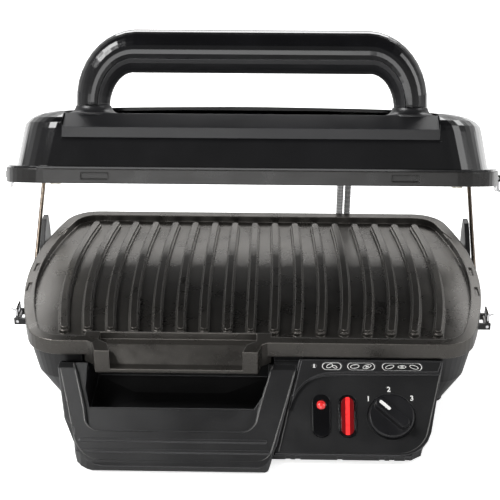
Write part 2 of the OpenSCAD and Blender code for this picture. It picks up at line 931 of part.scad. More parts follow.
// One wire: a pin into the base, a quarter bend, the arm, a quarter bend and the lid's pin.
module lift_arm() {
    r = arm_dia / 2;
    bend = arm_bend;
    module quarter() {
        rotate_extrude(angle = 90)
            translate([bend, 0])
                circle(r = r - bend_slack);
    }
    translate([0, arm_pivot_y, arm_pivot_z])
        rotate([arm_angle, 0, 0]) {
            x_rod(arm_x - arm_pin_in, arm_x - bend + weld, r);
            translate([arm_x - bend, bend, 0])
                mirror([0, 1, 0])
                    quarter();
            translate([arm_x, bend - weld, 0])
                rotate([-90, 0, 0])
                    cylinder(h = arm_len - 2 * bend + 2 * weld, r = r);
            translate([arm_x - bend, arm_len - bend, 0])
                quarter();
            translate([0, arm_len, 0])
                x_rod(arm_x - hinge_pin_in, arm_x - bend + weld, r);
        }
}

module lift_arm_right() {
    color("#6b5f55")
        lift_arm();
}

module lift_arm_left() {
    color("#6b5f55")
        mirror([1, 0, 0])
            lift_arm();
}

hinge_bush_x = [arm_x - 16, arm_x - 7];
hinge_bush_r = 4;

module hinge_bushes() {
    color("#d8d4c8")
        both_sides()
            translate([0, hinge_y, hinge_z])
                difference() {
                    union() {
                        x_rod(hinge_bush_x[0], hinge_bush_x[1], hinge_bush_r);
                        x_rod(hinge_bush_x[1], hinge_bush_x[1] + 1, hinge_bush_r + 1.8);
                    }
                    x_rod(hinge_bush_x[0] - 1, hinge_bush_x[1] + 2, arm_dia / 2 + pin_clear);
                }
}

// Sheet brackets under the lid's back corners: a foot under the band, a web and an eye round the bush.
bracket_t = 1.5;
bracket_foot_u = lid_d / 2 - 24;

module lid_hinge_brackets() {
    eye_x0 = hinge_bush_x[0] + 1.5;
    eye_x1 = hinge_bush_x[1] - 0.3;
    web_x = eye_x0 + 1.5;
    color("#cfc9b6")
        in_lid()
            both_sides()
                difference() {
                    union() {
                        translate([0, hinge_u, hinge_v])
                            x_rod(eye_x0, eye_x1, hinge_bush_r + 2);
                        x_prism(web_x, web_x + 2.5, [
                            [hinge_u - 1, hinge_v - hinge_bush_r - 2],
                            [hinge_u + 1, hinge_v + hinge_bush_r + 2],
                            [bracket_foot_u + 12, band_h * 0.7],
                            [bracket_foot_u, band_h * 0.4],
                            [bracket_foot_u, -bracket_t],
                            [bracket_foot_u + 16, -bracket_t - 3]
                        ]);
                        translate([lid_w / 2 - 34, bracket_foot_u, -bracket_t])
                            cube([web_x - lid_w / 2 + 35, 14, bracket_t]);
                    }
                    translate([0, hinge_u, hinge_v])
                        x_rod(eye_x0 - 1, eye_x1 + 1, hinge_bush_r + pin_clear);
                    translate([0, 0, -0.01])
                        lid_slab(0, dome_h, -seat_gap);
                }
}

/* Leads between the two halves */

lead_r = 2.9;
lead_gap = 3.4;

lead_back_y = back_y - lead_r;
lead_end_gap = 0.4;
link_hole_v = 20;
lead_foot_bend = 5;
lead_lean_bend = 20;
lead_lean_z = rim_z + 4;

// A straight rod along Z with a round end, flat at its very tip.
module round_rod(length, r) {
    rotate_extrude()
        intersection() {
            union() {
                square([r, length]);
                translate([0, length])
                    circle(r = r);
            }
            translate([0, -1])
                square([r + 1, length + 0.95 * r + 1]);
        }
}

// A bend of the lead in the Y-Z plane, about a centre, from one angle on.
module lead_bend(centre, from, angle, bend) {
    translate([0, centre.x, centre.y])
        rotate([90, 0, 90])
            rotate([0, 0, from])
                rotate_extrude(angle = angle)
                    translate([bend, 0])
                        circle(r = lead_r - bend_slack);
}

// Out of the base's back wall, up behind the plate, then leaning in to the hinge line.
module link_lead_lower() {
    foot_c = [lead_back_y - lead_foot_bend, link_foot_z + lead_foot_bend];
    lean_c = [lead_back_y - lead_lean_bend, lead_lean_z];
    to_hinge = [hinge_y, hinge_z] - lean_c;
    lean = atan2(to_hinge.y, to_hinge.x) - acos(lead_lean_bend / norm(to_hinge));
    last = sqrt(pow(norm(to_hinge), 2) - pow(lead_lean_bend, 2));
    color("#8d8d8d")
        for (side = [-1, 1])
            translate([link_x + side * lead_gap, 0, 0]) {
                translate([0, link_foot_y, link_foot_z])
                    rotate([-90, 0, 0])
                        cylinder(h = foot_c.x - link_foot_y + weld, r = lead_r);
                lead_bend(foot_c, -90, 90, lead_foot_bend);
                translate([0, lead_back_y, foot_c.y - weld])
                    cylinder(h = lead_lean_z - foot_c.y + 2 * weld, r = lead_r);
                lead_bend(lean_c, 0, lean, lead_lean_bend);
                translate([0, hinge_y, hinge_z])
                    rotate([lean, 0, 0])
                        translate([0, 0, -last - weld])
                            round_rod(last + weld, lead_r);
            }
}

// Out of the lid's back wall and down to the hinge line, clear of the lower lead's end.
module link_lead_upper() {
    from = [lid_d / 2 - 6, link_hole_v + 2];
    run = [hinge_u, hinge_v] - from;
    color("#9a9a9a")
        in_lid()
            for (side = [-1, 1])
                translate([link_x + side * lead_gap, from.x, from.y])
                    rotate([atan2(run.y, run.x) - 90, 0, 0])
                        cylinder(h = norm(run) - lead_r - lead_end_gap, r = lead_r);
}

module cord_gland() {
    color("#0e0e0e")
        translate([gland_x, gland_wall_y, gland_z])
            rotate([-90, 0, 0])
                difference() {
                    union() {
                        translate([0, 0, -6])
                            cylinder(h = 10, r = gland_r - 0.05);
                        cylinder(h = 2.5, r = gland_r + 2);
                    }
                    translate([0, 0, -7])
                        cylinder(h = 20, r = 3.3);
                }
}

gland_wall_y = plate_y + plate_d / 2 - 4;

/* Lid */

panel_v = [band_h + 5, band_h + 29, band_h + 39];
handle_panel_d = 62;
handle_foot_v = panel_v[2] + 6;

// The dome: a steep wall off the band, a quarter-ellipse shoulder and a crowned top.
dome_foot_in = 7;
dome_wall_in = 12;
dome_wall_v = band_h + 28;
shoulder_run = 22;
shoulder_v = dome_h - 5;

dome_levels = concat(
    [[band_h, dome_foot_in]],
    [for (a = [0:18:90]) [
        dome_wall_v + (shoulder_v - dome_wall_v) * sin(a),
        dome_wall_in + shoulder_run * (1 - cos(a))
    ]],
    [[dome_h - 2, 60], [dome_h, 95]]
);

module dome(shrink) {
    hull()
        for (level = dome_levels)
            translate([0, 0, level[0] - shrink * (level[0] > band_h ? 1 : 0)])
                linear_extrude(0.2)
                    polygon(barrel(
                        lid_w - 2 * (level[1] + shrink),
                        lid_d - 2 * (level[1] * 0.8 + shrink),
                        plate_bow, plate_corner + level[1] * 0.2
                    ));
}

module lid_housing() {
    color("#0d0d0d")
        in_lid()
            difference() {
                union() {
                    dome(0);
                    // Foot that sits on the band
                    lid_slab(band_h, band_h + 1.6, 1);
                }
                intersection() {
                    dome(lid_wall);
                    lid_slab(band_h - 1, dome_h, 2);
                }
                // Seat of the handle's panel
                handle_panel_block(seat_gap, true);
                // Slits at the front corners of the dome
                both_sides()
                    translate([lid_w / 2 - 28, -lid_d / 2 + 8, band_h + 31])
                        rotate([0, 48, 0])
                            cube([17, 18, 1.6], center = true);
                // Hole for the link lead
                translate([link_x, lid_d / 2 - 20, link_hole_v])
                    rotate([-90, 0, 0])
                        cylinder(h = 40, r = lead_gap + lead_r + 2);
            }
}

// The panel that carries the handle, set into the front of the dome.
module handle_panel_block(grow, cut = false) {
    half = handle_panel_w / 2 + grow;
    front_u = -lid_d / 2 + 9 - grow;
    back_u = front_u + handle_panel_d + 2 * grow;
    foot = panel_v[0] - grow;
    top = panel_v[2] + grow + (cut ? 30 : 0);
    x_prism(-half, half, [
        [front_u, foot],
        [front_u, panel_v[1] + (cut ? 40 : 0)],
        [front_u + (cut ? 0 : 14), top],
        [back_u, top],
        [back_u, foot + 16],
        [front_u + 20, foot]
    ]);
}

// A solid through a list of rings, each a list of as many points.
module loft(rings) {
    n = len(rings[0]);
    last = len(rings) - 1;
    polyhedron(
        points = [for (ring = rings) each ring],
        faces = concat(
            [[for (k = [0:n - 1]) k]],
            [for (i = [0:last - 1], k = [0:n - 1]) [i * n + k, (i + 1) * n + k, (i + 1) * n + (k + 1) % n]],
            [for (i = [0:last - 1], k = [0:n - 1]) [i * n + k, (i + 1) * n + (k + 1) % n, i * n + (k + 1) % n]],
            [[for (k = [n - 1:-1:0]) last * n + k]]
        )
    );
}

// The handle's line: up one leg, round a corner, along the grip and down the other leg.
leg_r = 12;
leg_deep_r = 14;
grip_v = handle_top - grip_dia / 2;
corner_run = 30;
corner_rise = grip_v - handle_foot_v - 1.5;
leg_x = handle_w / 2 - leg_r;

// A station is [x, v, direction the outer side faces, share of the way from leg to grip].
function corner_station(t) = [
    -leg_x + corner_run * (1 - cos(90 * t)),
    grip_v - corner_rise + corner_rise * sin(90 * t),
    180 - 90 * t,
    t
];
left_stations = concat(
    [[-leg_x, handle_foot_v, 180, 0]],
    [for (k = [0:10]) corner_station(k / 10)]
);
stations = concat(
    left_stations,
    [for (k = [len(left_stations) - 1:-1:0])
        let (s = left_stations[k]) [-s[0], s[1], 180 - s[2], s[3]]]
);

// One ring of the handle between two angles counted from its outer side.
function handle_ring(s, a0, a1, n, shrink) =
    let (
        r_out = leg_r + (grip_dia / 2 - leg_r) * s[3] - shrink,
        r_deep = leg_deep_r + (grip_dia / 2 - leg_deep_r) * s[3] - shrink
    )
    [for (k = [0:n])
        let (a = a0 + (a1 - a0) * k / n, out = r_out * cos(a), deep = r_deep * sin(a))
        [s[0] + out * cos(s[2]), -handle_ahead + deep, s[1] + out * sin(s[2])]];

split_angle = 112;

module handle_cover() {
    color("#050505")
        in_lid()
            loft([for (s = stations) handle_ring(s, -split_angle, split_angle, 20, 0)]);
}

// The matt inner half of the handle, under the fingers.
module handle_inner_shell() {
    color("#1a1a1a")
        in_lid()
            translate([0, 0, 0])
                loft([for (s = stations) inner_ring(s)]);
}

// The inner shell keeps a seam off the cover's chord.
function inner_ring(s) =
    let (
        n = 10,
        r_out = leg_r + (grip_dia / 2 - leg_r) * s[3] - 0.3,
        r_deep = leg_deep_r + (grip_dia / 2 - leg_deep_r) * s[3] - 0.3,
        a0 = split_angle + 2.5
    )
    [for (k = [0:n])
        let (a = a0 + (360 - 2 * a0) * k / n, out = r_out * cos(a), deep = r_deep * sin(a))
        [s[0] + out * cos(s[2]), -handle_ahead + deep, s[1] + out * sin(s[2])]];

module handle_base() {
    boss_top = handle_foot_v - seat_gap;
    boss_r = handle_panel_w / 2 - leg_x;
    color("#171717")
        in_lid()
            difference() {
                union() {
                    handle_panel_block(0);
                    // Round bosses with a fillet at the foot of each leg
                    for (side = [-1, 1])
                        translate([side * leg_x, -handle_ahead, panel_v[2] - 1])
                            difference() {
                                cylinder(h = boss_top - panel_v[2] + 1, r = boss_r);
                                translate([0, 0, 1.4])
                                    rotate_extrude()
                                        translate([boss_r + 0.5, 6])
                                            circle(r = 6);
                            }
                }
                // Hollow under the panel
                intersection() {
                    handle_panel_block(-3);
                    translate([-handle_panel_w / 2, -lid_d / 2 + 14, panel_v[0] + 2])
                        cube([handle_panel_w, handle_panel_d - 12, panel_v[2] - panel_v[0] - 5]);
                }
                for (side = [-1, 1])
                    translate([side * leg_x, -handle_ahead, panel_v[0]])
                        cylinder(h = 60, r = 2.2);
            }
}

module handle_screws() {
    color("silver")
        in_lid()
            for (side = [-1, 1])
                translate([side * leg_x, -handle_ahead, panel_v[2] - 5.5]) {
                    cylinder(h = 2.2, r = 4);
                    cylinder(h = boss_top_v - panel_v[2] + 5.3, r = 2);
                }
}

boss_top_v = handle_foot_v - seat_gap;

/* Lid's inner pieces */

module upper_reflector() {
    color("#a0a0a0")
        in_lid()
            difference() {
                translate([-130, -43, rib_h + plate_t + 11])
                    cube([260, 124, 10]);
                translate([-129.2, -42.2, rib_h + plate_t + 10])
                    cube([258.4, 122.4, 10.2]);
            }
    // Spacers that stand on the plate's back
    color("#a0a0a0")
        in_lid()
            for (x = [-122, 122], y = [-36, 73])
                translate([x, y, rib_h + plate_t + 0.1])
                    difference() {
                        cylinder(h = 20.5, r = 4.5);
                        translate([0, 0, -1])
                            cylinder(h = 30, r = 2.5);
                    }
}

module upper_heater() {
    color("#4a4a4c")
        in_lid()
            translate([0, 3, rib_h + plate_t + heater_r + seat_gap])
                heater_loop();
}

/* Latches */

latch_pin_r = 1.2;
latch_w = 13;
latch_ear_w = 2;
latch_open = 18;

// A sprung sheet lever on a pin along Y. Its hook faces inwards and its tab outwards.
module latch() {
    translate([0, -latch_w / 2 - latch_ear_w - 0.4, 0])
        rotate([-90, 0, 0])
            cylinder(h = latch_w + 2 * latch_ear_w + 0.8, r = latch_pin_r);
    difference() {
        translate([0, latch_w / 2, 0])
            rotate([90, 0, 0])
                linear_extrude(latch_w)
                    polygon([
                        [-1.6, -1.6], [1.6, -1.6], [1.6, 8.2], [5, 9.8],
                        [5, 11], [0.8, 10.2], [-0.2, 9.2], [-0.2, 2.2], [-1.6, 1.6]
                    ]);
        translate([-3, -3, 4])
            cube([6, 6, 3]);
    }
}

module latch_ears() {
    for (side = [-1, 1])
        translate([0, side * (latch_w / 2 + 0.3 + latch_ear_w / 2), 0])
            difference() {
                translate([-13, -latch_ear_w / 2, -2.6])
                    cube([15.6, latch_ear_w, 5.2]);
                translate([0, -5, 0])
                    rotate([-90, 0, 0])
                        cylinder(h = 10, r = latch_pin_r + pin_clear);
            }
}

lower_latch_at = [plate_w / 2 + 0.6, plate_y - 50, base_top_z - 4];
upper_latch_at = [lid_w / 2 + 2, -6, 4];

module lower_latch_right() {
    color("silver")
        translate(lower_latch_at)
            latch();
}

module lower_latch_left() {
    color("silver")
        mirror([1, 0, 0])
            translate(lower_latch_at)
                latch();
}

module upper_latch_right() {
    color("silver")
        in_lid()
            translate(upper_latch_at)
                mirror([0, 0, 1])
                    latch();
}

module upper_latch_left() {
    color("silver")
        in_lid()
            mirror([1, 0, 0])
                translate(upper_latch_at)
                    mirror([0, 0, 1])
                        latch();
}

/* Drip tray */

tray_edge_z = 8;
tray_edge_y = front_y + 2;
tray_floor_z = 10;
tray_wall = 2.5;
hip_h = 2.4;
tray_back_y = tray_bay_back_y - tray_clear - 0.4;
deck_v = 24;
apron_v = 40;
apron_sink = 4;
arm_top_v = panel_len - 1;
tray_foot_z = base_foot_z + seat_gap;
basin_x = [-120, 14];

module on_tray() {
    translate([0, tray_edge_y, tray_edge_z])
        rotate([front_slope, 0, 0])
            children();
}

tray_corner = 23;

// The tray in plan, with round front corners. Its sides are cut by the bay's profile.
function tray_plan() =
    let (left = bay_left_x(tray_edge_z) + tray_clear, right = bay_right_x(tray_edge_z) - tray_clear)
    concat(
        [for (a = [180:15:270]) [left + tray_corner * (1 + cos(a)), front_y + tray_corner * (1 + sin(a))]],
        [for (a = [270:18:360]) [right - 10 + 10 * cos(a), front_y + 10 + 10 * sin(a)]],
        [
            [right + 30, front_y + 40],
            [right + 30, tray_back_y],
            [left - 30, tray_back_y],
            [left - 30, front_y + 47]
        ]
    );

// The tray's side view, from the table under its front to the back of the basin.
function tray_profile(inset) =
    let (
        top_y = tray_edge_y + arm_top_v * cos(front_slope),
        top_z = tray_edge_z + arm_top_v * sin(front_slope)
    ) [
        [front_y + inset + 1.5, 1.2],
        [front_y + inset, 3],
        [front_y + inset, 6.2],
        [tray_edge_y + inset * 0.8, tray_edge_z - inset * 0.6],
        [top_y + inset * 0.5, top_z - inset],
        [plate_front_y - 2.5, top_z - inset],
        [plate_front_y - 2.5, bay_top_z - 5],
        [tray_back_y, bay_top_z - 5],
        [tray_back_y, tray_foot_z],
        [panel_y + 5, tray_foot_z],
        [panel_y + 3, 1.2]
    ];

// The opening inside the U of the arms and the deck, drawn on the slope.
function tray_mouth() = concat(
    [[-133, 90], [-119, 42]],
    [for (a = [195:15:270]) [-106 + 12 * cos(a), deck_v + 12 + 12 * sin(a)]],
    [for (a = [270:15:345]) [-6 + 12 * cos(a), deck_v + 12 + 12 * sin(a)]],
    [[7, 42], [20, 90]]
);

module drip_tray() {
    wall_y = tray_edge_y + (apron_v + 3) * cos(front_slope) + apron_sink * sin(front_slope);
    color("#131313")
        union() {
            difference() {
                intersection() {
                    x_prism(-front_w / 2 - 5, split_top_x + 5, tray_profile(0));
                    linear_extrude(cook_z)
                        polygon(tray_plan());
                    y_prism(front_y - 1, tray_back_y + 1, bay_profile(-tray_clear, -1, cook_z));
                }
                // Sunken apron between the deck and the basin
                on_tray()
                    translate([0, 0, -apron_sink])
                        linear_extrude(20)
                            polygon(tray_mouth());
                // The basin
                translate([0, 0, tray_floor_z])
                    linear_extrude(cook_z)
                        polygon([
                            [basin_x[0] + 4, wall_y],
                            [basin_x[1] - 10, wall_y],
                            [basin_x[1], wall_y + 14],
                            [basin_x[1], tray_back_y - tray_wall],
                            [basin_x[0], tray_back_y - tray_wall],
                            [basin_x[0], wall_y + 12]
                        ]);
                // Hollow under the deck
                intersection() {
                    x_prism(-front_foot_w / 2 + 8, split_foot_x - 8, [
                        [front_y + 5, 0],
                        [front_y + 5, 5.5],
                        [wall_y - 4, 24],
                        [wall_y - 4, 0]
                    ]);
                    translate([0, 0, -1])
                        linear_extrude(30)
                            polygon([
                                [-front_foot_w / 2 + 8, front_y + 12],
                                [-front_foot_w / 2 + 14, front_y + 5],
                                [split_foot_x - 14, front_y + 5],
                                [split_foot_x - 8, front_y + 12],
                                [split_foot_x - 8, wall_y],
                                [-front_foot_w / 2 + 8, wall_y]
                            ]);
                }
            }
            // Hipped floor of the basin
            hull() {
                translate([basin_x[0] + 2, wall_y + 15, tray_floor_z - 0.6])
                    cube([basin_x[1] - basin_x[0] - 4, tray_back_y - tray_wall - wall_y - 17, 0.5]);
                translate([basin_x[0] + 32, wall_y + 34, tray_floor_z])
                    cube([basin_x[1] - basin_x[0] - 64, 12, hip_h]);
            }
            // Two grip ribs across the deck
            for (rib = [[8.5, -53.5, 138], [16.5, -53.5, 134]])
                on_tray()
                    translate([rib[1], rib[0], -0.5])
                        rotate([0, 0, 90])
                            pill(2.4, rib[2], 1.6);
        }
}

// Travels of the joints in degrees
echo(arm_travel = arm_angle - arm_closed_angle, knob_travel = knob_turn, latch_travel = latch_open);

base_housing();
bottom_cover();
feet();
bottom_screws();
lower_reflector();
lower_heater();
lower_plate();
control_panel();
pilot_holder();
pilot_lens();
switch_body();
switch_rocker();
thermostat();
thermostat_knob();
knob_pointer();
arm_bushes();
cord_gland();
link_lead_lower();
lift_arm_left();
lift_arm_right();
hinge_bushes();
lid_housing();
upper_plate();
upper_reflector();
upper_heater();
handle_base();
handle_inner_shell();
handle_cover();
handle_screws();
lid_hinge_brackets();
link_lead_upper();
drip_tray();
lower_latch_left();
lower_latch_right();
upper_latch_left();
upper_latch_right();
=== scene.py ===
"""Looks of the electric indoor grill: materials, leads, printed marks, camera and light."""

import math

import bmesh
import bpy
from mathutils import Matrix, Vector
from mathutils.bvhtree import BVHTree


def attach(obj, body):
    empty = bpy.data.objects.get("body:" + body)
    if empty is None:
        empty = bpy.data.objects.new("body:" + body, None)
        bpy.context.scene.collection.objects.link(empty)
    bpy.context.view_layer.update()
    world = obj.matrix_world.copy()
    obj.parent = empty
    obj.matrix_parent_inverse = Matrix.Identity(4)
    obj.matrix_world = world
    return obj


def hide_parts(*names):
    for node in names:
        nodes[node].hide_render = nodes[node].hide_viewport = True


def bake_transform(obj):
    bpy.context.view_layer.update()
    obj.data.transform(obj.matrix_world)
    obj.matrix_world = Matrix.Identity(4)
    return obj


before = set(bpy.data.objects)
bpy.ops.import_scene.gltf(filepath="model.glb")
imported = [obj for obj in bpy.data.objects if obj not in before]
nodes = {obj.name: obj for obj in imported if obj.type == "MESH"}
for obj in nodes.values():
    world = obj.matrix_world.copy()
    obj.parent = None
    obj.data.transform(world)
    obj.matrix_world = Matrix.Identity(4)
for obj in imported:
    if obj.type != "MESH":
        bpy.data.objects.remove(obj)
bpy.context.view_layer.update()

MM = 0.001

# ---------------------------------------------------------------- places taken from the part, in mm

TRAY_Y = -150.5
TRAY_Z = 8.0
PANEL_Y = -140.5
PANEL_Z = 10.0
SLOPE = math.radians(35)
PANEL_MIDDLE_V = 29.0
STRIP_TOP = 3.2
STRIP_V = 66.8
RECESS = 0.4
PILOT_X = 52.5
SWITCH_X = 71.5
KNOB_X = 103.0
KNOB_R = 16.5
LEAD_X = 79.0
LEAD_GAP = 3.4
LEAD_R = 2.9
RIB_PITCH = 2.4
RIB_DEPTH = 0.28
BACK_WALL_Y = 142.0
HINGE = (145.301, 99.283)
LID_Y = 24.5
LID_Z = 150.0
LID_TILT = math.radians(21.9)


def panel_frame(x, v, w=0.0):
    """A frame on the control panel: X across, Y up the slope, Z square out of it."""
    base = Matrix.Translation((0, PANEL_Y * MM, PANEL_Z * MM)) @ Matrix.Rotation(SLOPE, 4, "X")
    return base @ Matrix.Translation((x * MM, v * MM, w * MM))


# ---------------------------------------------------------------- materials


class Material:
    """A Principled material whose nodes are added one by one."""

    def __init__(self, name, colour, roughness, metallic=0.0, specular=0.5):
        self.data = bpy.data.materials.new(name)
        self.data.use_nodes = True
        self.data.diffuse_color = (*colour, 1)
        self.tree = self.data.node_tree
        self.bsdf = self.tree.nodes["Principled BSDF"]
        self.colour = colour
        self.roughness = roughness
        self.bsdf.inputs["Base Color"].default_value = (*colour, 1)
        self.bsdf.inputs["Roughness"].default_value = roughness
        self.bsdf.inputs["Metallic"].default_value = metallic
        self.bsdf.inputs["Specular IOR Level"].default_value = specular
        self.place = self.add("ShaderNodeTexCoord").outputs["Object"]
        self.normal = None

    def add(self, kind, **values):
        node = self.tree.nodes.new(kind)
        for key, value in values.items():
            if hasattr(node, key):
                setattr(node, key, value)
            else:
                node.inputs[key].default_value = value
        return node

    def join(self, a, b):
        self.tree.links.new(a, b)

    def noise(self, size_mm, detail=2.0, rough=0.5, stretch=None):
        """Noise whose blobs are about size_mm across, drawn out along an axis if asked."""
        place = self.place
        if stretch:
            mapping = self.add("ShaderNodeMapping")
            mapping.inputs["Scale"].default_value = stretch
            self.join(place, mapping.inputs["Vector"])
            place = mapping.outputs["Vector"]
        node = self.add("ShaderNodeTexNoise", Scale=1 / (size_mm * MM), Detail=detail, Roughness=rough)
        self.join(place, node.inputs["Vector"])
        return node.outputs["Fac"]

    def span(self, source, low, high, to_low=0.0, to_high=1.0):
        node = self.add("ShaderNodeMapRange")
        node.clamp = True
        for key, value in zip(("From Min", "From Max", "To Min", "To Max"), (low, high, to_low, to_high)):
            node.inputs[key].default_value = value
        self.join(source, node.inputs["Value"])
        return node.outputs["Result"]

    def mix(self, factor, a, b):
        """A colour between a and b; each is a colour or another node's output."""
        node = self.add("ShaderNodeMix", data_type="RGBA")
        self.join(factor, node.inputs["Factor"])
        for key, value in (("A", a), ("B", b)):
            socket = [s for s in node.inputs if s.name == key and s.type == "RGBA"][0]
            if isinstance(value, tuple):
                socket.default_value = (*value, 1)
            else:
                self.join(value, socket)
        return [s for s in node.outputs if s.type == "RGBA"][0]

    def tint(self, factor, colour):
        """Blends another colour over what the surface has so far."""
        socket = self.bsdf.inputs["Base Color"]
        now = socket.links[0].from_socket if socket.is_linked else tuple(self.colour)
        self.join(self.mix(factor, now, colour), socket)

    def vary_roughness(self, factor, low, high):
        self.join(self.span(factor, 0.3, 0.7, low, high), self.bsdf.inputs["Roughness"])

    def soft_edges(self, radius_mm):
        node = self.add("ShaderNodeBevel", samples=6, Radius=radius_mm * MM)
        self.normal = node.outputs["Normal"]
        self.join(self.normal, self.bsdf.inputs["Normal"])

    def paint_edge_highlight(self, colour, amount=0.8):
        """Painted highlight along the edges: paler where the rounded normal leaves the face's own."""
        plain = self.add("ShaderNodeNewGeometry").outputs["Normal"]
        match = self.add("ShaderNodeVectorMath", operation="DOT_PRODUCT")
        self.join(self.normal, match.inputs[0])
        self.join(plain, match.inputs[1])
        self.tint(self.span(match.outputs["Value"], 0.8, 0.965, amount, 0), colour)

    def bump(self, height, depth_mm, strength=1.0):
        node = self.add("ShaderNodeBump", Strength=strength, Distance=depth_mm * MM)
        self.join(height, node.inputs["Height"])
        if self.normal:
            self.join(self.normal, node.inputs["Normal"])
        self.normal = node.outputs["Normal"]
        self.join(self.normal, self.bsdf.inputs["Normal"])

    def axis(self, index):
        node = self.add("ShaderNodeSeparateXYZ")
        self.join(self.place, node.inputs["Vector"])
        return node.outputs[index]


def grained_plastic(name, colour, roughness, grain_mm, depth_mm, edge_mm=0.6):
    """Moulded plastic with a spark-eroded grain, a little dust in the grain and a painted highlight along
    the edges.
    """
    m = Material(name, colour, roughness, specular=0.42)
    m.soft_edges(edge_mm)
    grain = m.noise(grain_mm, 3, 0.6)
    patches = m.noise(34, 3)
    m.tint(m.span(grain, 0.52, 0.72, 0, 0.5), tuple(min(1, c * 2.1 + 0.006) for c in colour))
    m.tint(m.span(patches, 0.45, 0.7, 0, 0.35), tuple(c * 1.5 for c in colour))
    # painted highlight: the edges paler than the plastic
    m.paint_edge_highlight(tuple(min(1, c * 9 + 0.03) for c in colour))
    m.vary_roughness(patches, roughness - 0.05, roughness + 0.07)
    m.bump(grain, depth_mm, 0.8)
    return m.data


def gloss_plastic(name, colour, roughness, edge_mm=0.8, coat=0.25):
    """Polished plastic with faint moulding waves and fine rubbing marks."""
    m = Material(name, colour, roughness, specular=0.34)
    m.soft_edges(edge_mm)
    m.bsdf.inputs["Coat Weight"].default_value = coat
    m.bsdf.inputs["Coat Roughness"].default_value = 0.06
    haze = m.noise(26, 4)
    m.vary_roughness(haze, roughness * 0.75, roughness * 1.35)
    m.tint(m.span(haze, 0.4, 0.75, 0, 0.5), tuple(c * 1.8 for c in colour))
    m.bump(m.noise(18, 1), 0.05, 0.25)
    m.bump(m.noise(0.5, 2), 0.004, 0.4)
    return m.data


def coated_casting(name, colour, metallic):
    """Non-stick coating: dark grey with a metallic sheen and fine pale specks."""
    m = Material(name, colour, 0.3, metallic=metallic, specular=0.5)
    m.soft_edges(1.3)
    cloud = m.noise(22, 4, 0.6)
    m.tint(m.span(cloud, 0.35, 0.7, 0, 0.8), tuple(c * 1.35 for c in colour))
    specks = m.add("ShaderNodeTexVoronoi", Scale=1 / (1.1 * MM))
    m.join(m.place, specks.inputs["Vector"])
    m.tint(m.span(specks.outputs["Distance"], 0.1, 0.24, 0.3, 0), tuple(c * 3.2 for c in colour))
    fine = m.add("ShaderNodeTexVoronoi", Scale=1 / (2.6 * MM))
    m.join(m.place, fine.inputs["Vector"])
    m.tint(m.span(fine.outputs["Distance"], 0.05, 0.1, 0.5, 0), tuple(c * 4.5 for c in colour))
    # painted highlight along the plate's edges and rib ends
    m.paint_edge_highlight(tuple(c * 3.4 for c in colour), 0.7)
    m.vary_roughness(cloud, 0.24, 0.36)
    m.bump(m.noise(0.8, 3), 0.03, 0.5)
    return m.data


def metal(name, colour, roughness, grain_mm=0.6, stretch=(1, 1, 1), stain=None, depth_mm=0.01):
    """Bare or plated metal with drawing marks along one way."""
    m = Material(name, colour, roughness, metallic=1.0)
    m.soft_edges(0.35)
    marks = m.noise(grain_mm, 3, 0.6, stretch)
    patches = m.noise(9, 3)
    m.vary_roughness(marks, roughness * 0.7, roughness * 1.4)
    m.tint(m.span(patches, 0.4, 0.75, 0, 0.55), stain or tuple(c * 0.72 for c in colour))
    m.bump(marks, depth_mm, 0.5)
    return m.data


def rubber(name, colour):
    m = Material(name, colour, 0.72, specular=0.3)
    m.soft_edges(0.5)
    m.tint(m.span(m.noise(3, 4), 0.45, 0.7, 0, 0.6), tuple(c * 1.9 for c in colour))
    m.bump(m.noise(0.5, 3), 0.03, 0.6)
    return m.data


def nylon(name, colour):
    m = Material(name, colour, 0.42, specular=0.5)
    m.bsdf.inputs["Subsurface Weight"].default_value = 0.15
    m.bsdf.inputs["Subsurface Radius"].default_value = (0.002, 0.002, 0.0015)
    m.tint(m.span(m.noise(4, 3), 0.4, 0.7, 0, 0.4), tuple(c * 0.8 for c in colour))
    m.bump(m.noise(0.6, 2), 0.01, 0.4)
    return m.data


def printing(name):
    m = Material(name, (0.78, 0.78, 0.76), 0.5, specular=0.3)
    m.tint(m.span(m.noise(0.5, 3), 0.5, 0.75, 0, 0.4), (0.6, 0.6, 0.58))
    m.bump(m.noise(0.3, 2), 0.01, 0.4)
    return m.data


def lit_red(name, centre_x, half_w, glow):
    """Clear red plastic with a lamp behind it: brighter along the middle, ribbed inside."""
    m = Material(name, (0.13, 0.002, 0.004), 0.16, specular=0.55)
    m.soft_edges(0.4)
    m.bsdf.inputs["Coat Weight"].default_value = 0.5
    m.bsdf.inputs["Coat Roughness"].default_value = 0.05
    off = m.add("ShaderNodeMath", operation="SUBTRACT")
    m.join(m.axis(0), off.inputs[0])
    off.inputs[1].default_value = centre_x * MM
    away = m.add("ShaderNodeMath", operation="ABSOLUTE")
    m.join(off.outputs[0], away.inputs[0])
    middle = m.span(away.outputs[0], half_w * 0.85 * MM, half_w * 1.15 * MM, 1, 0)
    m.tint(middle, (0.75, 0.03, 0.03))
    cells = m.noise(2.4, 2)
    m.tint(m.span(cells, 0.5, 0.62, 0, 0.55), (0.16, 0.0, 0.002))
    lamp = m.add("ShaderNodeMath", operation="MULTIPLY_ADD")
    m.join(middle, lamp.inputs[0])
    lamp.inputs[1].default_value = glow
    lamp.inputs[2].default_value = glow * 0.06
    m.bsdf.inputs["Emission Color"].default_value = (1.0, 0.03, 0.03, 1)
    m.join(lamp.outputs[0], m.bsdf.inputs["Emission Strength"])
    m.bump(cells, 0.05, 0.3)
    return m.data


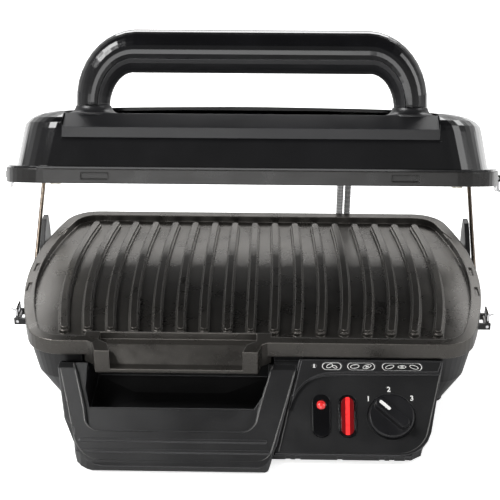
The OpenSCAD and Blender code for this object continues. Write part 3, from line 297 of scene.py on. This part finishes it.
def sleeve(name, colour, pitch_mm):
    """A heat-proof sleeve, woven or ribbed round the lead."""
    m = Material(name, colour, 0.5, specular=0.5)
    weave = m.add("ShaderNodeTexWave", Scale=1 / (pitch_mm * MM) / 6.28, Distortion=0.6, Detail=1.0)
    weave.bands_direction = "Z"
    m.join(m.place, weave.inputs["Vector"])
    m.tint(m.span(weave.outputs["Fac"], 0.2, 0.8, 0, 0.6), tuple(c * 0.5 for c in colour))
    m.bump(weave.outputs["Fac"], 0.15, 0.6)
    m.bump(m.noise(0.5, 2), 0.05, 0.6)
    return m.data


BODY = grained_plastic("body_plastic", (0.008, 0.008, 0.0085), 0.36, 0.9, 0.06, 1.0)
PANEL = grained_plastic("panel_plastic", (0.010, 0.010, 0.0105), 0.36, 0.6, 0.035, 0.9)
TRAY = grained_plastic("tray_plastic", (0.010, 0.010, 0.0105), 0.34, 0.8, 0.06, 1.2)
# pale grey beads: painted highlight along the tray's and the panel's edges
BEAD_PAINTED_HIGHLIGHT = gloss_plastic("bead_painted_highlight", (0.085, 0.084, 0.082), 0.26, 0.3, 0.3)
SATIN = grained_plastic("matt_black", (0.01, 0.01, 0.011), 0.34, 0.5, 0.02)
GLOSS = gloss_plastic("gloss_black", (0.003, 0.003, 0.0035), 0.14)
KNOB = gloss_plastic("knob_plastic", (0.008, 0.008, 0.009), 0.3, 0.7, 0.1)
COATING = coated_casting("plate_coating", (0.064, 0.06, 0.055), 0.7)
# the same coating as the lower plate, painted much darker: painted shade on the upper plate's band
SHADED_COATING = coated_casting("upper_plate_painted_shade_coating", (0.014, 0.0135, 0.013), 0.3)
RUBBER = rubber("foot_rubber", (0.014, 0.014, 0.014))
STEEL = metal("screw_steel", (0.5, 0.5, 0.5), 0.34)
SHEET = metal("reflector_sheet", (0.62, 0.62, 0.62), 0.3, 0.4, (0.05, 1, 1))
SHEATH = metal("heater_sheath", (0.13, 0.12, 0.12), 0.5)
ARM = metal("arm_wire", (0.2, 0.165, 0.135), 0.3, 0.4, (1, 0.1, 0.1), (0.1, 0.08, 0.065))
BRACKET = metal("bracket_sheet", (0.74, 0.71, 0.62), 0.26, 0.5, (1, 0.1, 1))
CHROME = metal("latch_chrome", (0.72, 0.72, 0.73), 0.16, 0.4)
NYLON = nylon("bush_nylon", (0.58, 0.55, 0.47))
PRINT = printing("white_print")
RED_SWITCH = lit_red("red_lens", SWITCH_X, 1.5, 0.6)
RED_PILOT = lit_red("red_pilot", PILOT_X, 3.0, 0.12)
SLEEVE_BRAID = sleeve("lead_sleeve", (0.62, 0.62, 0.62), 1.6)
SLEEVE_RIB = sleeve("lead_sleeve_ribbed", (0.34, 0.34, 0.34), RIB_PITCH)

FINISH = {
    BODY: ["base_housing", "bottom_cover", "cord_gland"],
    PANEL: ["control_panel"],
    TRAY: ["drip_tray"],
    SATIN: ["handle_base", "handle_inner_shell"],
    GLOSS: ["lid_housing", "handle_cover", "pilot_holder", "switch_body"],
    KNOB: ["thermostat_knob"],
    COATING: ["lower_plate"],
    SHADED_COATING: ["upper_plate"],
    RUBBER: ["feet"],
    STEEL: ["bottom_screws", "handle_screws", "thermostat"],
    SHEET: ["lower_reflector", "upper_reflector"],
    SHEATH: ["lower_heater", "upper_heater"],
    ARM: ["lift_arm_left", "lift_arm_right"],
    BRACKET: ["lid_hinge_brackets"],
    CHROME: ["lower_latch_left", "lower_latch_right", "upper_latch_left", "upper_latch_right"],
    NYLON: ["arm_bushes", "hinge_bushes"],
    PRINT: ["knob_pointer"],
    RED_SWITCH: ["switch_rocker"],
    RED_PILOT: ["pilot_lens"],
    SLEEVE_BRAID: ["link_lead_lower", "link_lead_upper"],
}

for material, names in FINISH.items():
    for name in names:
        mesh = nodes[name].data
        mesh.materials.clear()
        mesh.materials.append(material)


def round_edges(name, width_mm, angle=32):
    """Rounds a moulding's edges, which are sharp in the part itself."""
    obj = nodes[name]
    weld = obj.modifiers.new("weld", "WELD")
    weld.merge_threshold = 0.002 * MM
    flat = obj.modifiers.new("flat", "DECIMATE")
    flat.decimate_type = "DISSOLVE"
    flat.angle_limit = math.radians(0.6)
    bevel = obj.modifiers.new("edges", "BEVEL")
    bevel.width = width_mm * MM
    bevel.segments = 3
    bevel.limit_method = "ANGLE"
    bevel.angle_limit = math.radians(angle)
    bevel.harden_normals = True


EDGES = {"drip_tray": 1.0, "control_panel": 0.8, "base_housing": 0.7, "handle_base": 1.0, "lower_plate": 0.8}

for name, width in EDGES.items():
    round_edges(name, width)


# ---------------------------------------------------------------- new pieces


def piece(name, mesh, body, material):
    """Adds a mesh to the scene as a named piece that rides on a body when one is given."""
    obj = bpy.data.objects.new(name, mesh)
    bpy.context.scene.collection.objects.link(obj)
    mesh.materials.append(material)
    if body:
        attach(obj, body)
    return obj


def tube(name, points, radius):
    """A round tube through points, in mm. radius is a function of the length run so far."""
    sides = 20
    path = [Vector(p) for p in points]
    bm = bmesh.new()
    rings = []
    run = 0.0
    for i, p in enumerate(path):
        if i:
            run += (p - path[i - 1]).length
        ahead = (path[min(i + 1, len(path) - 1)] - path[max(i - 1, 0)]).normalized()
        across = Vector((1, 0, 0))
        up = ahead.cross(across).normalized()
        r = radius(run)
        ring = []
        for k in range(sides):
            a = 2 * math.pi * k / sides
            ring.append(bm.verts.new((p + (across * math.cos(a) + up * math.sin(a)) * r) * MM))
        rings.append(ring)
    for a, b in zip(rings, rings[1:]):
        for k in range(sides):
            bm.faces.new((a[k], a[(k + 1) % sides], b[(k + 1) % sides], b[k]))
    bm.faces.new(reversed(rings[0]))
    bm.faces.new(rings[-1])
    bmesh.ops.recalc_face_normals(bm, faces=bm.faces)
    mesh = bpy.data.meshes.new(name)
    bm.to_mesh(mesh)
    bm.free()
    for face in mesh.polygons:
        face.use_smooth = len(face.vertices) == 4
    return mesh


def resample(points, step):
    """Even points along a polyline."""
    out = [Vector(points[0])]
    for a, b in zip(points, points[1:]):
        a = Vector(a)
        b = Vector(b)
        n = max(1, round((b - a).length / step))
        out += [a.lerp(b, (i + 1) / n) for i in range(n)]
    return out


def lower_route(x):
    """Out of the base's back wall, up behind the plate and in to the hinge line."""
    foot = (149.6, 42.2)
    bend = 5.0
    lean = 20.0
    lean_z = 70.5
    middle = (foot[0] - lean, lean_z)
    to = (HINGE[0] - middle[0], HINGE[1] - middle[1])
    reach = math.hypot(*to)
    turn = math.atan2(to[1], to[0]) - math.acos(lean / reach)
    points = [(x, BACK_WALL_Y, foot[1])]
    for i in range(9):
        a = math.radians(-90 + 90 * i / 8)
        points.append((x, foot[0] - bend + bend * math.cos(a), foot[1] + bend + bend * math.sin(a)))
    for i in range(5):
        a = turn * i / 4
        points.append((x, middle[0] + lean * math.cos(a), middle[1] + lean * math.sin(a)))
    points.append((x, *HINGE))
    return resample(points, 0.5)


def lid_point(x, u, v):
    """A point drawn in the lid's own frame."""
    c, s = math.cos(LID_TILT), math.sin(LID_TILT)
    return (x, LID_Y + u * c + v * s, LID_Z - u * s + v * c)


def upper_route(x):
    """From the hinge line straight into the lid's back wall."""
    return resample([(x, *HINGE), lid_point(x, 112.0, 22.0)], 0.5)


def ribbed_radius(run):
    """A ribbed lead's radius after a run of its length, in mm."""
    return LEAD_R - RIB_DEPTH + RIB_DEPTH * math.sin(run / RIB_PITCH * 2 * math.pi)


def make_leads():
    looks = [
        ("braided", -1, SLEEVE_BRAID, lambda run: LEAD_R),
        ("ribbed", 1, SLEEVE_RIB, ribbed_radius),
    ]
    for word, side, material, radius in looks:
        x = LEAD_X + side * LEAD_GAP
        low = lower_route(x)
        lower_mesh = tube(f"{word}_lead_lower", low, radius)
        lower = piece(f"{word}_lead_lower", lower_mesh, None, material)
        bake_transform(lower)
        high = upper_route(x)
        upper_mesh = tube(f"{word}_lead_upper", high, radius)
        upper = piece(f"{word}_lead_upper", upper_mesh, None, material)
        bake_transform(upper)
        if side < 0:
            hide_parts("link_lead_lower")
            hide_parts("link_lead_upper")


def stadium(length, width, n=10):
    """A pill outline along X, in mm."""
    r = width / 2
    half = length / 2 - r
    angles = [math.pi * (i / n - 0.5) for i in range(n + 1)]
    right = [(half + r * math.cos(a), r * math.sin(a)) for a in angles]
    return right + [(-x, -y) for x, y in right]


def oval(cx, cy, rx, ry, turn=0.0, n=20):
    """An ellipse, in mm."""
    out = []
    for i in range(n):
        a = 2 * math.pi * i / n
        x, y = rx * math.cos(a), ry * math.sin(a)
        c, s = math.cos(turn), math.sin(turn)
        out.append((cx + x * c - y * s, cy + x * s + y * c))
    return out


def printed(name, outlines, at):
    """Flat printing a hair proud of the surface. Each outline is (points, line width); width 0 fills it."""
    proud = 0.05 * MM
    bm = bmesh.new()
    for points, line in outlines:
        n = len(points)
        outer = [Vector((p[0], p[1])) for p in points]
        if line:
            middle = sum(outer, Vector((0, 0))) / n
            inner = [p + (middle - p).normalized() * line for p in outer]
            for k in range(n):
                corners = [outer[k], outer[(k + 1) % n], inner[(k + 1) % n], inner[k]]
                bm.faces.new([bm.verts.new((c.x * MM, c.y * MM, 0)) for c in corners])
        else:
            bm.faces.new([bm.verts.new((c.x * MM, c.y * MM, 0)) for c in outer])
    bmesh.ops.remove_doubles(bm, verts=bm.verts, dist=1e-6)
    lifted = bmesh.ops.extrude_face_region(bm, geom=bm.faces[:])
    moved = [e for e in lifted["geom"] if isinstance(e, bmesh.types.BMVert)]
    bmesh.ops.translate(bm, verts=moved, vec=(0, 0, proud))
    bmesh.ops.recalc_face_normals(bm, faces=bm.faces)
    mesh = bpy.data.meshes.new(name)
    bm.to_mesh(mesh)
    bm.free()
    mesh.transform(at)
    return piece(name, mesh, "base", PRINT)


def numeral(name, text, size, at):
    """A printed numeral, made from the built-in font and kept as a mesh."""
    curve = bpy.data.curves.new(name, "FONT")
    curve.body = text
    curve.size = size * MM
    curve.align_x = "CENTER"
    curve.align_y = "CENTER"
    curve.extrude = 0.03 * MM
    curve.offset = 0.12 * MM
    holder = bpy.data.objects.new(name + "_curve", curve)
    bpy.context.scene.collection.objects.link(holder)
    bpy.context.view_layer.update()
    mesh = bpy.data.meshes.new_from_object(holder.evaluated_get(bpy.context.evaluated_depsgraph_get()))
    bpy.data.objects.remove(holder)
    mesh.name = name
    mesh.materials.clear()
    mesh.transform(at)
    return piece(name, mesh, "base", PRINT)


def arc(cx, cy, r, start, end, n=7):
    """Points round part of a circle, in mm and degrees."""
    out = []
    for i in range(n + 1):
        a = math.radians(start + (end - start) * i / n)
        out.append((cx + r * math.cos(a), cy + r * math.sin(a)))
    return out


def smooth(points, rounds=2):
    """Cuts the corners of a line until it runs smoothly."""
    for _ in range(rounds):
        cut = [points[0]]
        for a, b in zip(points, points[1:]):
            cut.append((a[0] * 0.75 + b[0] * 0.25, a[1] * 0.75 + b[1] * 0.25))
            cut.append((a[0] * 0.25 + b[0] * 0.75, a[1] * 0.25 + b[1] * 0.75))
        points = cut + [points[-1]]
    return points


def make_bead(name, node, body, place, line, radius, material):
    """A moulded bead that follows a line over a piece's sloping face."""
    tree = BVHTree.FromObject(nodes[node], bpy.context.evaluated_depsgraph_get())
    to_local = nodes[node].matrix_world.inverted()
    facing = (place.to_3x3() @ Vector((0, 0, 1))).normalized()
    found = []
    for x, v in smooth(line):
        start = to_local @ (place @ Vector((x * MM, v * MM, 15 * MM)))
        hit = tree.ray_cast(start, -facing, 0.021)[0]
        if hit is not None:
            found.append((nodes[node].matrix_world @ hit - facing * radius * 0.3 * MM) / MM)
    fade = 3.0
    points = resample(found, 1.2)
    total = sum((b - a).length for a, b in zip(points, points[1:]))
    mesh = tube(name, points, lambda run: radius * min(1.0, 0.3 + run / fade, 0.3 + (total - run) / fade))
    return piece(name, mesh, body, material)


def make_beads():
    tray = Matrix.Translation((0, TRAY_Y * MM, TRAY_Z * MM)) @ Matrix.Rotation(SLOPE, 4, "X")
    panel = panel_frame(0, 0)
    outer = [(-139.4, 73), (-126.4, 26), (-124.2, 17.5), (-120.8, 11), (-116, 5.6), (-110, 2.6), (-103, 1.8)]
    outer += [(4, 1.8), (11, 2.8), (15.6, 6.6), (18.2, 14), (33.8, 73)]
    mouth = [(-131.2, 80), (-119.8, 42)] + arc(-106, 36, 12.9, 200, 270) + arc(-6, 36, 12.9, 270, 340)
    mouth += [(8, 42), (18.2, 80)]
    wall = [(-114, 41.9), (-108, 41.6), (0, 41.6), (4, 41.9)]
    edge = [(35.6, 67), (22.2, 2.2), (21.4, 1.4), (107, 1.4)] + arc(107, 24, 22.6, 285, 345) + [(141, 67)]
    make_bead("tray_edge_bead", "drip_tray", "drip_tray", tray, outer, 0.6, BEAD_PAINTED_HIGHLIGHT)
    make_bead("tray_mouth_bead", "drip_tray", "drip_tray", tray, mouth, 0.6, BEAD_PAINTED_HIGHLIGHT)
    make_bead("tray_wall_bead", "drip_tray", "drip_tray", tray, wall, 0.6, BEAD_PAINTED_HIGHLIGHT)
    make_bead("panel_edge_bead", "control_panel", "base", panel, edge, 0.5, BEAD_PAINTED_HIGHLIGHT)


def make_skirt_lip():
    """The bottom cover's lip, which shows in the notches of the skirt."""
    profile = [(2.0, 4.4), (3.0, 4.4), (3.0, 6.1), (2.55, 6.1), (2.55, 7.3), (2.0, 7.3)]
    stations = [(22.5, 0.4), (23.1, 0.0), (117.0, 0.0), (117.6, 0.4)]
    bm = bmesh.new()
    rings = []
    for x, less in stations:
        middle = (2.5, 5.8)
        ring = []
        for y, z in profile:
            y += less * (middle[0] - y) * 0.5
            z += less * (middle[1] - z) * 0.5
            ring.append(bm.verts.new((x * MM, (PANEL_Y + y) * MM, z * MM)))
        rings.append(ring)
    n = len(profile)
    for a, b in zip(rings, rings[1:]):
        for k in range(n):
            bm.faces.new((a[k], a[(k + 1) % n], b[(k + 1) % n], b[k]))
    bm.faces.new(reversed(rings[0]))
    bm.faces.new(rings[-1])
    bmesh.ops.recalc_face_normals(bm, faces=bm.faces)
    mesh = bpy.data.meshes.new("skirt_lip")
    bm.to_mesh(mesh)
    bm.free()
    return piece("skirt_lip", mesh, "base", BODY)


def make_printing():
    low = STRIP_TOP - RECESS + 0.01
    printed("mark_thermometer", [
        (oval(0, -1.5, 1.05, 1.05), 0),
        (oval(0, 0.6, 0.5, 2.6), 0),
    ], panel_frame(47.5, STRIP_V, low))
    line = 0.45
    pills = [
        ("mark_one_piece", 60.5, 15, [
            (oval(-1.6, 0.3, 2.6, 1.5, 0.5), line),
            (oval(2.2, -0.5, 1.9, 1.1, -0.4), line),
        ]),
        ("mark_two_pieces", 82, 21, [
            (oval(-4.6, 0, 3.4, 1.6, 0.15), line),
            (oval(4.4, 0, 3.4, 1.5, 0.35), line),
            (oval(4.4, 0, 1.4, 0.4, 0.35), 0),
        ]),
        ("mark_three_pieces", 112, 30, [
            (oval(-9.0, 0, 3.4, 1.5, 0.3), line),
            (oval(0, 0.1, 3.1, 1.3), line),
            (oval(0, 0.1, 1.3, 0.4), 0),
            (oval(8.8, 0, 3.4, 1.5, -0.3), line),
        ]),
    ]
    for name, x, length, inside in pills:
        printed(name, [(stadium(length - 0.8, 5.6), line)] + inside, panel_frame(x, STRIP_V, low))
    reach = KNOB_R + 4.6
    for text, degrees in (("1", 50), ("2", 3), ("3", -47)):
        a = math.radians(90 + degrees)
        at = panel_frame(KNOB_X + reach * math.cos(a), PANEL_MIDDLE_V + reach * math.sin(a), 0.03)
        numeral(f"numeral_{text}", text, 5.4, at)


make_leads()
make_beads()
make_skirt_lip()
make_printing()


# ---------------------------------------------------------------- camera, floor and light


def make_camera():
    """The photograph's viewpoint: slightly right of the middle, looking down on the plates."""
    data = bpy.data.cameras.new("camera")
    data.sensor_width = 36
    data.lens = 87.2
    data.clip_start = 0.01
    camera = bpy.data.objects.new("camera", data)
    camera.location = (0.018, -0.8475, 0.5245)
    down = math.radians(26.5)
    left = math.radians(1.33)
    camera.rotation_euler = (math.pi / 2 - down, 0, left)
    bpy.context.scene.collection.objects.link(camera)
    bpy.context.scene.camera = camera


def make_floor():
    """A pale floor that shows white to the camera and keeps the grill's shadow."""
    mesh = bpy.data.meshes.new("floor")
    half = 4.0
    corners = [(-half, -half, 0), (half, -half, 0), (half, half, 0), (-half, half, 0)]
    mesh.from_pydata(corners, [], [(0, 1, 2, 3)])
    floor = bpy.data.objects.new("floor", mesh)
    bpy.context.scene.collection.objects.link(floor)
    data = bpy.data.materials.new("floor")
    data.use_nodes = True
    tree = data.node_tree
    bsdf = tree.nodes["Principled BSDF"]
    bsdf.inputs["Base Color"].default_value = (0.86, 0.86, 0.86, 1)
    bsdf.inputs["Roughness"].default_value = 0.9
    bsdf.inputs["Specular IOR Level"].default_value = 0.1
    bsdf.inputs["Emission Color"].default_value = (1, 1, 1, 1)
    path = tree.nodes.new("ShaderNodeLightPath")
    glow = tree.nodes.new("ShaderNodeMath")
    glow.operation = "MULTIPLY"
    glow.inputs[1].default_value = 0.7
    tree.links.new(path.outputs["Is Camera Ray"], glow.inputs[0])
    tree.links.new(glow.outputs[0], bsdf.inputs["Emission Strength"])
    mesh.materials.append(data)


def make_world():
    world = bpy.data.worlds.new("studio")
    world.use_nodes = True
    bpy.context.scene.world = world
    tree = world.node_tree
    background = tree.nodes["Background"]
    path = tree.nodes.new("ShaderNodeLightPath")
    seen = tree.nodes.new("ShaderNodeMath")
    seen.operation = "MAXIMUM"
    tree.links.new(path.outputs["Is Camera Ray"], seen.inputs[0])
    tree.links.new(path.outputs["Is Transmission Ray"], seen.inputs[1])
    where = tree.nodes.new("ShaderNodeTexCoord")
    split = tree.nodes.new("ShaderNodeSeparateXYZ")
    tree.links.new(where.outputs["Generated"], split.inputs["Vector"])
    height = tree.nodes.new("ShaderNodeMapRange")
    for key, value in (("From Min", 0.15), ("From Max", 0.8), ("To Min", 0.85), ("To Max", 0.06)):
        height.inputs[key].default_value = value
    tree.links.new(split.outputs["Z"], height.inputs["Value"])
    strength = tree.nodes.new("ShaderNodeMath")
    strength.operation = "MAXIMUM"
    tree.links.new(height.outputs["Result"], strength.inputs[0])
    tree.links.new(seen.outputs[0], strength.inputs[1])
    background.inputs["Color"].default_value = (1, 1, 1, 1)
    tree.links.new(strength.outputs[0], background.inputs["Strength"])


def softbox(name, place, target, size, power):
    data = bpy.data.lights.new(name, "AREA")
    data.shape = "RECTANGLE"
    data.size, data.size_y = size
    data.energy = power
    lamp = bpy.data.objects.new(name, data)
    lamp.location = place
    lamp.rotation_euler = (Vector(target) - Vector(place)).to_track_quat("-Z", "Y").to_euler()
    bpy.context.scene.collection.objects.link(lamp)


make_camera()
make_floor()
make_world()
softbox("key_light", (-0.9, -0.4, 1.3), (0, 0, 0.12), (0.6, 0.6), 20)
softbox("fill_light", (1.3, -0.3, 0.9), (0, 0, 0.1), (0.5, 0.9), 6)
softbox("front_light", (-0.2, -1.3, 0.55), (0, 0, 0.05), (0.9, 0.4), 4)
softbox("back_light", (0.1, 1.2, 1.0), (0, 0.05, 0.1), (1.8, 0.5), 16)

bpy.context.scene.view_settings.view_transform = "Standard"
